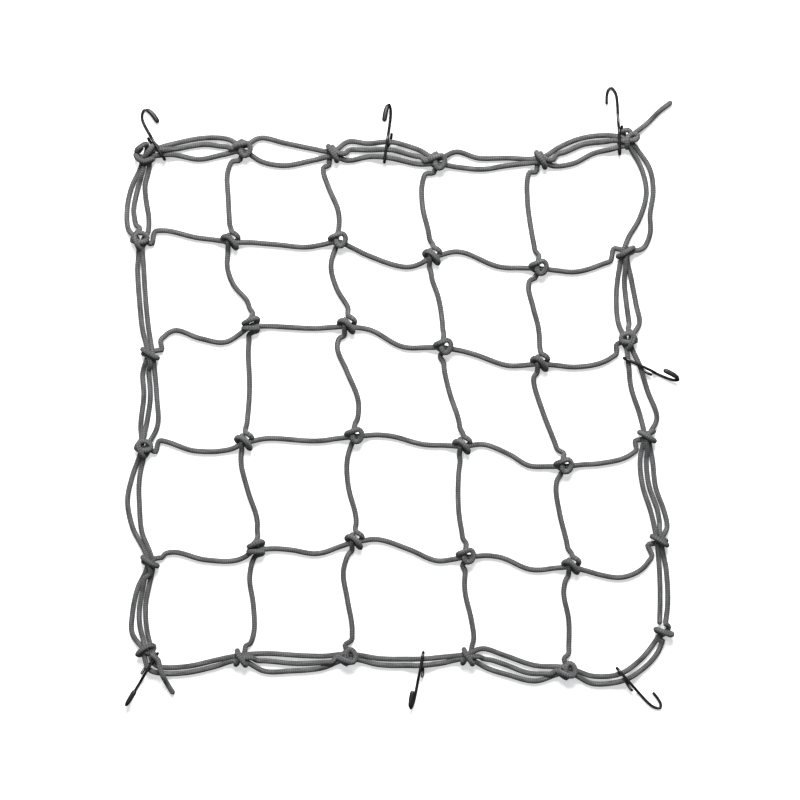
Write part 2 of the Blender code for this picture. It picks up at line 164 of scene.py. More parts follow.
# The border's strands, side by side: each side's knots, the way to the net's inside, then the places that
# its outer, inner and third strands pass in each span. A third strand is there in every other span.
BORDER = {
    "top": {
        "knots": tuple(KNOTS[0]),
        "inward": (0, -1),
        "outer": (
            ((-181, 204.5), (-157, 209), (-138, 208)),
            ((-113, 209), (-93, 205), (-71, 200.5)),
            ((-42.5, 206), (-26.5, 204.6), (-7, 205.4), (13.5, 199.8)),
            ((44, 198), (61.5, 193), (84, 193)),
            ((127, 202), (145, 209), (164, 211)),
        ),
        "inner": (
            ((-183, 195.5), (-161, 192), (-143, 195.5)),
            ((-111, 190), (-93, 187), (-71, 191)),
            ((-42.5, 191), (-25, 194), (-5.5, 192.2), (13.5, 188.2)),
            ((47, 185.5), (65, 184), (85.5, 187)),
            ((123, 186.5), (138.5, 189), (154.5, 197), (169, 200)),
        ),
        "third": (
            ((-181, 200), (-157, 203.8), (-141, 202)),
            (),
            ((-41, 199.5), (-26.5, 199.3), (-7, 199), (13.5, 194)),
            (),
            ((129, 197), (146.5, 204), (164, 206)),
        ),
    },
    "right": {
        "knots": tuple(row[LAST] for row in KNOTS),
        "inward": (-1, 0),
        "outer": (
            ((198.5, 185), (201.5, 166), (199, 148.5), (199, 132.5), (193, 120.5)),
            ((184, 96.5), (188, 75.5), (190.5, 61)),
            ((190.5, 27), (197, 7), (204.5, -15)),
            ((201, -48.5), (203.5, -70), (210.5, -90), (212.5, -102)),
            ((212, -136.5), (213, -164.5)),
        ),
        "inner": (
            ((192, 185), (196, 165), (190.5, 144.5), (181.5, 129)),
            ((173, 95.5), (172, 79.5), (173.5, 62)),
            ((181.5, 28.5), (184, 9), (191, -12.5)),
            ((191, -48.5), (193, -68.5), (200, -91)),
            ((206.5, -136.5), (207, -164.5)),
        ),
        "third": (
            (),
            ((178.5, 95.5), (180, 78), (182, 62)),
            (),
            ((196, -48.5), (198.2, -69), (205, -89)),
            (),
        ),
    },
    "bottom": {
        "knots": tuple(KNOTS[LAST]),
        "inward": (0, 1),
        "outer": (
            ((-203.5, -211.5), (-200, -216), (-189, -219), (-169, -218), (-149, -213.5)),
            ((-109.5, -217), (-89, -217), (-63, -214.5)),
            ((-17, -212), (7, -212.5), (31, -211)),
            ((69.5, -215), (85.5, -220), (107, -225)),
            ((153, -227), (175, -225), (193.5, -215), (206, -200.5)),
        ),
        "inner": (
            ((-198.5, -208.5), (-196, -212), (-189, -214), (-169, -213), (-149, -208.5)),
            ((-106.5, -203), (-81, -204.5), (-61, -205)),
            ((-17, -207), (7, -207.3), (31, -206)),
            ((65, -199), (83, -204.5), (107, -212.5)),
            ((153, -221), (173, -219.5), (189, -210), (200.5, -197)),
        ),
        "third": (
            (),
            ((-107, -209), (-83, -211), (-61, -210)),
            (),
            ((69, -207.5), (85, -212.5), (103, -218.8)),
            (),
        ),
    },
    "left": {
        "knots": tuple(row[0] for row in KNOTS),
        "inward": (1, 0),
        "outer": (
            ((-208, 185), (-215.5, 169), (-219, 150), (-217.5, 135.5)),
            ((-210.5, 103.5), (-209, 79.5), (-206.5, 55.5)),
            ((-206.3, 22), (-205.5, 3.5), (-208, -20.5)),
            ((-214.5, -60.5), (-218.5, -80.5), (-214.5, -102)),
            ((-210.5, -151), (-214.5, -170), (-214.5, -187.5)),
        ),
        "inner": (
            ((-201.5, 183.5), (-204.5, 171), (-203.5, 158), (-201.5, 145), (-202.5, 132.5)),
            ((-205.5, 103.5), (-204, 79.5), (-201.5, 55.5)),
            ((-196.7, 22), (-195, 1), (-194.5, -20.5)),
            ((-209, -63), (-209, -84.5), (-207, -106)),
            ((-201, -147.5), (-204, -163.5), (-203, -184.5)),
        ),
        "third": (
            ((-205, 187), (-210.2, 169), (-213.6, 151), (-211.5, 138.5)),
            (),
            ((-201.5, 22), (-200.3, 2), (-202, -12)),
            (),
            ((-206, -150), (-209, -167), (-208.5, -182)),
        ),
    },
}

# The turns of the wrapping cord in each kind of knot: across, along and height. It comes in at the top
# (+along), goes round the carried cord, which runs across, and leaves at the bottom.
KNOT_TURNS = {
    # One broad strap lies over both cords, and a second turn shows at the upper right.
    "strap": (
        (0.4, 9.0, 2.4), (1.2, 6.6, 4.6), (3.6, 5.2, 7.6), (5.9, 3.0, 6.4), (5.4, 0.4, 2.9),
        (0.5, -2.6, 2.2), (-4.6, -0.8, 2.6), (-6.4, 1.2, 5.4), (-4.6, 3.0, 8.8), (-1.0, 2.0, 10.4),
        (2.4, -1.4, 10.1), (4.6, -4.8, 7.4), (4.2, -6.2, 4.2), (1.6, -3.4, 2.2), (-0.8, 1.8, 2.2),
        (-1.9, 4.2, 4.6), (-1.8, 1.6, 7.4), (-1.9, -1.8, 7.2), (-2.1, -5.4, 4.6), (-2.4, -9.0, 2.2),
    ),
    # The back of the same knot: a strap at the upper left, a lobe down the right side and a fold below.
    "fold": (
        (0.2, 9.0, 2.4), (-0.2, 6.4, 4.4), (-0.9, 3.4, 6.6), (-1.6, 0.0, 7.9), (-1.3, -3.6, 8.0),
        (0.8, -5.8, 7.2), (3.6, -5.0, 7.6), (5.6, -1.8, 8.2), (5.6, 1.8, 8.8), (3.4, 4.2, 9.6),
        (-0.2, 3.4, 10.4), (-3.8, 2.0, 9.6), (-6.4, 0.8, 6.6), (-6.0, -0.8, 3.4), (-2.8, -2.8, 2.2),
        (-1.0, -4.8, 2.2), (-2.2, -7.0, 2.3), (-2.9, -9.0, 2.2),
    ),
    # Two turns one below the other.
    "stack": (
        (1.6, 9.0, 2.4), (0.8, 6.2, 4.6), (-1.4, 3.2, 6.0), (-3.8, 0.8, 6.0), (-5.4, 0.6, 7.2),
        (-3.6, 1.6, 9.0), (0.5, 3.6, 10.0), (4.2, 4.8, 8.2), (5.8, 3.8, 5.0), (4.2, 1.2, 2.4),
        (-0.5, -1.6, 2.2), (-4.9, -2.6, 3.6), (-5.4, -3.4, 6.4), (-2.6, -3.2, 9.0), (2.2, -3.2, 9.2),
        (5.4, -3.6, 7.0), (5.0, -5.2, 4.0), (1.6, -6.2, 2.4), (-0.6, -7.4, 2.4), (-1.6, -9.0, 2.2),
    ),
}

# The turns at a border knot: along the border, outward and height. The bundle of strands runs along, and
# the cord leaves inward. An arm comes first, from the near or the far side along the border.
BAND_TURNS = (
    (1.6, -4.0, 2.2), (2.8, -7.6, 4.0), (2.5, -6.8, 7.4), (1.2, -4.0, 9.9), (-0.8, -1.0, 10.4),
    (-2.8, 2.0, 9.6), (-4.0, 4.0, 6.8), (-3.8, 3.6, 3.6), (-3.0, 0.6, 2.2), (-2.8, -4.6, 2.2),
    (-3.4, -8.0, 2.4), (-3.8, -11.0, 2.2),
)
BAND_ARM_NEAR = ((-9.0, -1.9, 6.0), (-4.0, -1.9, 7.4), (0.5, -0.8, 7.6), (3.4, 1.8, 6.6), (3.6, 3.6, 4.2),
                 (2.2, 0.8, 2.2))
BAND_ARM_FAR = ((9.0, -1.9, 6.0), (4.4, -1.6, 7.4), (0.8, 0.6, 7.4), (-0.6, 3.4, 5.8), (-0.4, 2.4, 2.6),
                (0.6, -0.4, 2.2))
# The arm at a border knot that has the turns of a knot inside the net, and how far inward those turns lie.
PLAIN_ARM = ((9.0, -1.9, 6.0), (5.0, 1.6, 6.6))
PLAIN_INWARD = 1.9

# The long cords' ends in the corner knots: the knot's middle, then across, up and height.
CORNER_TURNS = {
    "column_start": (
        KNOTS[0][0],
        ((-3.0, 3.5, 6.5), (-6.2, 0.2, 6.0), (-6.4, 1.8, 9.0), (-2.6, 4.8, 9.8), (0.4, 6.8, 7.0),
         (1.0, 5.0, 3.0), (0.4, -0.6, 2.4), (-1.4, -4.4, 4.6), (0.2, -3.0, 8.8), (4.0, 1.6, 9.8),
         (6.6, 5.4, 7.6), (8.4, 5.6, 4.2), (10.0, 2.6, 3.0)),
    ),
    "row_start": (
        KNOTS[0][0],
        ((5.8, 1.0, 3.0), (4.8, -2.6, 2.6), (-0.5, -3.8, 2.4), (-6.6, -2.4, 3.4), (-7.6, -1.6, 6.6),
         (-5.6, -5.2, 9.0), (-0.6, -7.4, 9.6), (4.6, -5.6, 8.4), (6.0, -5.2, 5.0), (2.4, -7.2, 3.2),
         (-1.6, -10.0, 4.8)),
    ),
    "column_end": (
        KNOTS[0][LAST],
        ((-9.0, -1.5, 5.0), (-5.0, -2.2, 7.6), (0.0, -1.4, 8.6), (5.2, -1.0, 8.6), (6.8, 1.8, 7.8),
         (3.6, 3.6, 8.4), (-0.6, 2.0, 9.8), (-1.8, -2.6, 10.0), (-1.6, -6.8, 6.4), (-1.4, -6.0, 3.0),
         (-2.6, 0.0, 2.4), (-4.4, 4.6, 4.0), (-4.2, 6.2, 7.0), (-0.6, 6.6, 8.0), (1.6, 3.4, 6.0)),
    ),
    "row_end": (
        KNOTS[LAST][0],
        ((-3.4, 10.0, 5.0), (-2.6, 5.4, 6.4), (-0.6, 1.0, 7.0), (3.6, 2.6, 6.4), (5.2, 5.6, 6.0),
         (3.0, 7.4, 8.8), (-2.0, 5.6, 10.2), (-6.6, 1.6, 9.0), (-8.0, -0.6, 5.6), (-4.0, -0.6, 3.0),
         (2.0, 0.4, 3.4), (4.8, 0.6, 6.6), (4.0, -0.5, 10.4)),
    ),
}

# The outer strand's own turn round the bundle, in the lower right corner's knot.
LAST_KNOT_TURNS = (
    (1.0, 6.0, 6.0), (3.8, 3.4, 3.2), (1.5, -0.6, 2.2), (-4.6, -0.4, 3.0), (-6.8, 1.8, 6.0),
    (-4.4, 1.4, 9.4), (0.6, -0.8, 10.4), (4.8, -2.6, 8.8), (6.2, -2.0, 5.6), (3.0, -1.4, 3.2),
    (-2.0, -3.4, 3.2), (-4.6, -7.2, 3.0),
)

# What each knot inside the net looks like, a line for each row.
KNOT_LOOKS = (
    ("strap", "fold", "strap", "fold"),
    ("stack", "strap", "fold", "strap"),
    ("strap", "fold", "strap", "fold"),
    ("stack", "strap", "fold", "strap"),
)

# What each border knot looks like, and whether its turns are mirrored along the border.
BORDER_LOOKS = {
    "top": (("fold", False), ("band", False), ("fold", False), ("band", False)),
    "bottom": (("band", True), ("fold", False), ("band", True), ("fold", False)),
    "left": (("fold", False), ("band", True), ("fold", False), ("band", True)),
    "right": (("band", True), ("fold", False), ("band", False), ("band", False)),
}

# The two free ends of the long cords, from their corner knots: each place and its height.
TAILS = {
    "tail_top_right": (
        (183, 209.5, 5.5), (187, 213, 4), (197, 221, 2.2), (206, 230, 2.15), (215, 237, 2.15),
    ),
    "tail_bottom_left": (
        (-198, -203.5, 10.5), (-193.2, -207.5, 11), (-192, -213.5, 11), (-190, -219.5, 9),
        (-187, -226.5, 3.8), (-182.5, -234, 2.15),
    ),
}

# The hooks. end: the eye's end inside the border. heading: the way the shank points, in degrees from +X.
# eye: how long the eye is. length: from that end to the outside of the bend. mouth: between the middles of
# the shank and the tip. roll: how far the bend has turned up from lying flat. side: 1 if the tip is on the
# shank's left, -1 if on its right. capped: whether the tip still has its moulded cap.
HOOKS = {
    "hook_top_left": dict(
        end=(-188, 190.5), heading=121, eye=19, length=45, mouth=10.5, roll=0, side=-1, capped=True
    ),
    "hook_top_middle": dict(
        end=(-13.5, 188), heading=82, eye=21, length=48.5, mouth=8, roll=55, side=1, capped=True
    ),
    "hook_top_right": dict(
        end=(174.5, 194.5), heading=92, eye=20, length=56, mouth=8.5, roll=0, side=1, capped=False
    ),
    "hook_right": dict(
        end=(176.8, 33.5), heading=-25, eye=23, length=49, mouth=8, roll=54, side=1, capped=True
    ),
    "hook_bottom_middle": dict(
        end=(18, -200.5), heading=-100.5, eye=17, length=48, mouth=8, roll=70, side=-1, capped=True
    ),
    "hook_bottom_right": dict(
        end=(171.5, -213.5), heading=-48.5, eye=19, length=49.5, mouth=8.5, roll=0, side=1, capped=False
    ),
    "hook_bottom_left": dict(
        end=(-193.6, -201.6), heading=-121.5, eye=18, length=50.5, mouth=8, roll=88, side=1, capped=True
    ),
}
EYE_GAP = 0.9
EYE_LIFT = 2 * WIRE_RADIUS + EYE_GAP  # a border strand lies this high on the lower wire of a hook's eye
LIFT_FULL = 3.0  # all of it as far as this from the wire, and none past LIFT_END
LIFT_END = 15.0
EYE_TOP = EYE_LIFT + 2 * RADIUS + EYE_GAP + WIRE_RADIUS
WIRE_LOW = 1.2
EYE_STEPS = 5
BESIDE_GAP = 0.35
# The bend: how far back from its outside, and the share of the mouth that the wire has crossed there.
BEND = ((21, 0), (11, 0.02), (5, 0.12), (1.6, 0.33), (0, 0.57), (1.7, 0.82), (6, 0.97), (13, 1.02))
# The wire from its cut end: how far past the eye, the share of the gap beside the shank, and height.
WIRE_START = ((4, 1, 4.4), (1, 1, 2.6), (-4, 0.7, WIRE_LOW), (-9, 0, WIRE_LOW))
# The wire's way down from the eye to the shank: how far past the eye, and height.
WIRE_DOWN = ((-6, EYE_TOP), (0, EYE_TOP - 0.6), (6, 3.9))
CUT_WIDTH = 0.86  # how wide the wire is at its cut ends, where the coating has drawn back
CAP_LENGTH = 12.0
CAP_RADIUS = 2.0
# The cap's form: how far from its open end, and its share of the cap's radius.
CAP_PROFILE = (
    (0, 0.66), (0.15, 0.78), (0.8, 0.86), (3, 0.92), (6, 1.0), (9.5, 1.0), (11.4, 0.97), (12.3, 0.86),
    (12.9, 0.66), (13.25, 0.4), (13.35, 0.12),
)

# The lights: place in metres, power and size. The key light's power is a setting.
KEY_PLACE, KEY_POWER, KEY_SIZE = (0.0, 1.5, 1.45), 95.0, 1.1
FILL_PLACE, FILL_POWER, FILL_SIZE = (-0.9, -0.6, 2.2), 9.0, 1.6
SKY_COLOUR, SKY_STRENGTH = (0.9, 0.95, 1.0, 1.0), 0.12
FLOOR_SIZE, FLOOR_GLOW = 12.0, 0.45
CAMERA_PLACE, CAMERA_LENS, CAMERA_REACH = (-0.0015, -0.00165, 2.0), 112.5, 50.0


# ---------------------------------------------------------------- lines


def smooth_line(points, per_span):
    """A centripetal Catmull-Rom line through the points, which may be flat or solid."""
    points = [Vector(p) for p in points]
    points = [2 * points[0] - points[1], *points, 2 * points[-1] - points[-2]]
    line = [points[1]]
    for a, b, c, d in zip(points, points[1:], points[2:], points[3:]):
        t1 = (b - a).length ** 0.5
        t2 = t1 + (c - b).length ** 0.5
        t3 = t2 + (d - c).length ** 0.5
        for i in range(1, per_span + 1):
            t = t1 + (t2 - t1) * i / per_span
            ab = a.lerp(b, t / t1)
            bc = b.lerp(c, (t - t1) / (t2 - t1))
            cd = c.lerp(d, (t - t2) / (t3 - t2))
            abc = ab.lerp(bc, t / t2)
            bcd = bc.lerp(cd, (t - t1) / (t3 - t1))
            line.append(abc.lerp(bcd, (t - t1) / (t2 - t1)))
    return line


class Route:
    """A smooth line that can be read at any distance along it."""

    def __init__(self, points, per_span=LINE_STEPS):
        self.line = smooth_line(points, per_span)
        self.along = [0.0]
        for a, b in zip(self.line, self.line[1:]):
            self.along.append(self.along[-1] + (b - a).length)
        self.length = self.along[-1]

    def at(self, distance):
        low, high = 0, len(self.along) - 1
        while high - low > 1:
            middle = (low + high) // 2
            if self.along[middle] < distance:
                low = middle
            else:
                high = middle
        start, end = self.along[low], self.along[high]
        return self.line[low].lerp(self.line[high], (distance - start) / (end - start))

    def between(self, start, end, step):
        """Evenly spaced places from start to end, both with them."""
        count = max(1, round((end - start) / step))
        return [self.at(start + (end - start) * i / count) for i in range(count + 1)]


def solid(place, height):
    return Vector((place.x, place.y, height))


def hook_frame(hook):
    """A hook's end, the way it points, and the way to its left."""
    angle = math.radians(hook["heading"])
    ahead = Vector((math.cos(angle), math.sin(angle)))
    return Vector(hook["end"]), ahead, Vector((-ahead.y, ahead.x))


def lift_at(place):
    """How far a border strand is held up here, where it lies on the lower wire of a hook's eye."""
    lift = 0.0
    for hook in HOOKS.values():
        end, ahead, left = hook_frame(hook)
        offset = place - end
        past = max(0.0, -offset.dot(ahead), offset.dot(ahead) - hook["eye"])
        distance = math.hypot(past, offset.dot(left))
        share = min(1.0, max(0.0, (LIFT_END - distance) / (LIFT_END - LIFT_FULL)))
        lift = max(lift, EYE_LIFT * share * share * (3 - 2 * share))
    return lift


def knots_and_places(knots, spans):
    """A route's points in order: each knot, and the places between it and the next."""
    points = [Vector(knots[0])]
    for knot, span in zip(knots[1:], spans):
        points += [Vector(place) for place in span]
        points.append(Vector(knot))
    return points


def span_route(start, places, end):
    return Route([Vector(start), *[Vector(p) for p in places], Vector(end)])


def strands_of(side):
    """The routes of a side's outer and inner strands."""
    inward = Vector(side["inward"])
    inner_knots = [Vector(knot) + inward * INNER_OFFSET for knot in side["knots"]]
    outer = Route(knots_and_places(side["knots"], side["outer"]))
    return outer, Route(knots_and_places(inner_knots, side["inner"]))


def carried(place, knots):
    """The height of a cord that runs through knots: on the floor between them and up inside them."""
    near = min((place - Vector(knot)).length for knot in knots)
    share = min(1.0, max(0.0, (CARRIED_END - near) / (CARRIED_END - CARRIED_FULL)))
    return RADIUS + (CARRIED_HEIGHT - RADIUS) * share * share * (3 - 2 * share)


def stacked(place, lower):
    """How far above the lower cords' line a cord lies here, where it's too near to lie beside them."""
    near = min((place - p).length for route in lower for p in route.line)
    return math.sqrt(max(0.0, (STACK_SPACING * RADIUS) ** 2 - near * near))


# ---------------------------------------------------------------- the long cords


def around(knot, turns):
    """Turns that are given from a knot's middle, as places on the net."""
    return [Vector((knot[0] + x, knot[1] + y, z)) for x, y, z in turns]


def border_frame(side):
    """A side's own axes: along the border and outward."""
    inward = Vector(BORDER[side]["inward"])
    along = Vector((1, 0)) if inward.y else Vector((0, 1))
    return along, -inward


def border_turns(side, index, arm):
    """A border knot's turns, from its arm along the border to its way in. arm is the arm's side, 1 or -1."""
    along, outward = border_frame(side)
    middle = Vector(BORDER[side]["knots"][index + 1])
    look, mirrored = BORDER_LOOKS[side][index]
    hand = -1 if mirrored else 1
    if look == "band":
        start = BAND_ARM_NEAR if arm * hand < 0 else BAND_ARM_FAR
        turns = [(x * hand, y, z) for x, y, z in start + BAND_TURNS]
    else:
        turns = [(x * arm, y, z) for x, y, z in PLAIN_ARM]
        turns += [(x * hand, y - PLAIN_INWARD, z) for x, y, z in KNOT_TURNS[look][1:]]
    return [solid(middle + along * x + outward * y, z) for x, y, z in turns]


def column_cord():
    """The line of the cord that makes the columns, and its third strands along the top and the bottom."""
    line = around(*CORNER_TURNS["column_start"])
    for index in range(len(COLUMNS)):
        down = index % 2 == 0
        side, far_side = ("top", "bottom") if down else ("bottom", "top")
        line += third_strand(side, index)
        line += border_turns(side, index, -1)
        inner = column_span(index, 0)
        for row in range(1, LAST):
            inner += around(KNOTS[row][index + 1], KNOT_TURNS[KNOT_LOOKS[row - 1][index]])
            inner += column_span(index, row)
        line += inner if down else inner[::-1]
        line += border_turns(far_side, index, 1)[::-1]
    line += third_strand("top", LAST - 1)
    return line + around(*CORNER_TURNS["column_end"])


def column_span(index, span):
    """A column between two knots, without its turns in them."""
    start, end = KNOTS[span][index + 1], KNOTS[span + 1][index + 1]
    route = span_route(start, COLUMNS[index][span], end)
    first = KNOT_REACH + (BORDER_ROOM if span == 0 else INNER_ROOM)
    last = route.length - KNOT_REACH - (BORDER_ROOM if span == LAST - 1 else INNER_ROOM)
    return [solid(p, RADIUS) for p in route.between(first, last, SPAN_STEP)]


def row_cord():
    """The line of the cord that makes the rows, and its third strands along the sides."""
    line = around(*CORNER_TURNS["row_start"])
    for index in range(len(ROWS)):
        rightward = index % 2 == 0
        side, far_side = ("left", "right") if rightward else ("right", "left")
        line += third_strand(side, index)
        line += border_turns(side, index, 1)
        inner = [p for span in range(LAST) for p in row_span(index, span)]
        line += inner if rightward else inner[::-1]
        line += border_turns(far_side, index, -1)[::-1]
    line += third_strand("left", LAST - 1)
    return line + around(*CORNER_TURNS["row_end"])


def row_span(index, span):
    """A row between two knots, nearly to the middle of each that it runs through."""
    knots = KNOTS[index + 1]
    route = span_route(knots[span], ROWS[index][span], knots[span + 1])
    first = KNOT_REACH + BORDER_ROOM if span == 0 else THROUGH_REACH
    last = route.length - (KNOT_REACH + BORDER_ROOM if span == LAST - 1 else THROUGH_REACH)
    inside = knots[1:-1]
    places = []
    for place in route.between(first, last, FINE_STEP):
        near = min((place - Vector(knot)).length for knot in inside)
        dip = ROW_DIP * max(0.0, 1 - near / DIP_END)
        places.append(Vector((place.x, place.y - dip, carried(place, inside))))
    return places


def third_strand(side, span):
    """The run of a long cord along the border from one knot to the next, between or on the two strands."""
    table = BORDER[side]
    route = span_route(table["knots"][span], table["third"][span], table["knots"][span + 1])
    strands = strands_of(table)
    room = KNOT_REACH + RUN_ROOM
    places = route.between(room, route.length - room, SPAN_STEP)
    return [solid(place, RADIUS + lift_at(place) + stacked(place, strands)) for place in places]


def border_strand(which):
    """The line of one border strand, right round the net from the lower right corner and back to it."""
    order = (("bottom", True), ("left", True), ("top", False), ("right", False))
    line = []
    for name, backward in order:
        table = BORDER[name]
        outer, inner = strands_of(table)
        route = outer if which == "outer" else inner
        places = []
        for place in route.between(CORNER_REACH, route.length - CORNER_REACH, FINE_STEP):
            height = max(carried(place, table["knots"]), RADIUS + lift_at(place))
            places.append(solid(place, height))
        line += places[::-1] if backward else places
    return around(KNOTS[LAST][LAST], LAST_KNOT_TURNS) + line if which == "outer" else line


# ---------------------------------------------------------------- meshes


def cord_tube(name, line, radius):
    """A closed tube along a line in millimetres, as an object in metres.

    Its UV map goes once round the cord in U and counts metres along it in V, for the weave to follow.
    """
    route = Route(line, TURN_STEPS)
    rings = [solid(p, max(p.z, radius)) for p in route.between(0.0, route.length, RING_STEP)]
    radii = [radius] * len(rings)
    first, last = (rings[0] - rings[1]).normalized(), (rings[-1] - rings[-2]).normalized()
    for width in END_WIDTHS:
        rings.insert(0, rings[0] + first * radius * END_STEP)
        rings.append(rings[-1] + last * radius * END_STEP)
        radii.insert(0, radius * width)
        radii.append(radius * width)
    verts, faces, uvs = [], [], []
    ahead = (rings[1] - rings[0]).normalized()
    across = ahead.cross(Vector((0, 0, 1))).normalized()
    travelled = 0.0
    marks = []
    for i, place in enumerate(rings):
        before, after = rings[max(0, i - 1)], rings[min(len(rings) - 1, i + 1)]
        heading = (after - before).normalized()
        across = (across - heading * across.dot(heading)).normalized()
        up = across.cross(heading)
        if i:
            travelled += (place - rings[i - 1]).length
        marks.append(travelled * MM)
        for j in range(SIDES):
            turn = 2 * math.pi * j / SIDES
            offset = (across * math.sin(turn) - up * math.cos(turn)) * radii[i]
            verts.append((place + offset - CENTRE) * MM)
    for i in range(len(rings) - 1):
        for j in range(SIDES):
            k = (j + 1) % SIDES
            a, b = i * SIDES, (i + 1) * SIDES
            faces.append((a + j, a + k, b + k, b + j))
            uvs += [(j / SIDES, marks[i]), ((j + 1) / SIDES, marks[i]),
                    ((j + 1) / SIDES, marks[i + 1]), (j / SIDES, marks[i + 1])]
    for ring, order in ((0, reversed(range(SIDES))), (len(rings) - 1, range(SIDES))):
        faces.append(tuple(ring * SIDES + j for j in order))
        uvs += [(0.5, marks[ring])] * SIDES
    mesh = bpy.data.meshes.new(name)
    mesh.from_pydata(verts, [], faces)
    layer = mesh.uv_layers.new(name="sheath")
    for loop, uv in zip(layer.data, uvs):
        loop.uv = uv
    mesh.update()
    mesh.shade_smooth()
    piece = bpy.data.objects.new(name, mesh)
    bpy.context.scene.collection.objects.link(piece)
    return piece


def face_out(piece):
    """Turns a piece's faces outward."""
    deselect()
    piece.select_set(True)
    bpy.context.view_layer.objects.active = piece
    bpy.ops.object.mode_set(mode="EDIT")
    bpy.ops.mesh.select_all(action="SELECT")
    bpy.ops.mesh.normals_make_consistent(inside=False)
    bpy.ops.object.mode_set(mode="OBJECT")
    deselect()


def deselect():
    bpy.ops.object.select_all(action="DESELECT")


def hook_points(hook):
    """The wire's line: from its cut end beside the shank, round the border in the eye, out to the tip."""
    end, ahead, left = hook_frame(hook)
    eye = hook["eye"]
    roll = math.radians(hook["roll"])
    across = Vector((*(left * hook["side"] * math.cos(roll)), math.sin(roll)))

    def place(along, beside, height):
        return solid(end + ahead * along + left * beside, height)

    eye_radius = (EYE_TOP - WIRE_LOW) / 2
    eye_middle = (EYE_TOP + WIRE_LOW) / 2
    gap = -hook["side"] * (2 * WIRE_RADIUS + BESIDE_GAP)
    points = [place(eye + past, gap * share, height) for past, share, height in WIRE_START]
    for step in range(EYE_STEPS + 1):
        turn = math.pi * step / EYE_STEPS
        along = WIRE_RADIUS + eye_radius * (1 - math.sin(turn))
        points.append(place(along, 0, eye_middle - eye_radius * math.cos(turn)))
    points += [place(eye + past, 0, height) for past, height in WIRE_DOWN]
    for back, share in BEND:
        flat = place(hook["length"] - WIRE_RADIUS - back, 0, WIRE_LOW)
        points.append(flat + across * share * hook["mouth"])
    return points


def bent_rod(name, places, radii, sides):
    """A rod bent along the places, made from a path with a round section and turned into a mesh."""
    deselect()
    bpy.ops.curve.primitive_bezier_curve_add()
    rod = bpy.context.object
    rod.name = name
    curve = rod.data
    curve.splines.clear()
    curve.dimensions = "3D"
    curve.twist_mode = "MINIMUM"
    curve.bevel_depth = MM  # each point's own radius is in millimetres
    curve.bevel_resolution = (sides - 4) // 2
    curve.use_fill_caps = True
    spline = curve.splines.new("POLY")
    spline.points.add(len(places) - 1)
    for spot, place, radius in zip(spline.points, places, radii):
        spot.co = (*((place - CENTRE) * MM), 1.0)
        spot.radius = radius
    bpy.ops.object.convert(target="MESH")
    rod = bpy.context.object
    rod.data.name = name
    rod.location = (0, 0, 0)
    face_out(rod)
    rod.data.shade_smooth()
    return rod


# ---------------------------------------------------------------- materials


def linear(hex_colour):
    """An sRGB hex colour as linear red, green, blue and alpha."""
    values = [int(hex_colour[i : i + 2], 16) / 255 for i in (1, 3, 5)]
    return (*[v / 12.92 if v <= 0.04045 else ((v + 0.055) / 1.055) ** 2.4 for v in values], 1.0)


def add_node(tree, kind, settings=None, inputs=None):
    """Adds a node with its settings, and with values or links for its inputs."""
    node = tree.nodes.new(kind)
    for name, value in (settings or {}).items():
        setattr(node, name, value)
    for name, value in (inputs or {}).items():
        if isinstance(value, bpy.types.NodeSocket):
            tree.links.new(value, node.inputs[name])
        else:
            node.inputs[name].default_value = value
    return node


def new_material(name):
    material = bpy.data.materials.new(name)
    material.use_nodes = True
    material.node_tree.nodes.clear()
    return material, material.node_tree


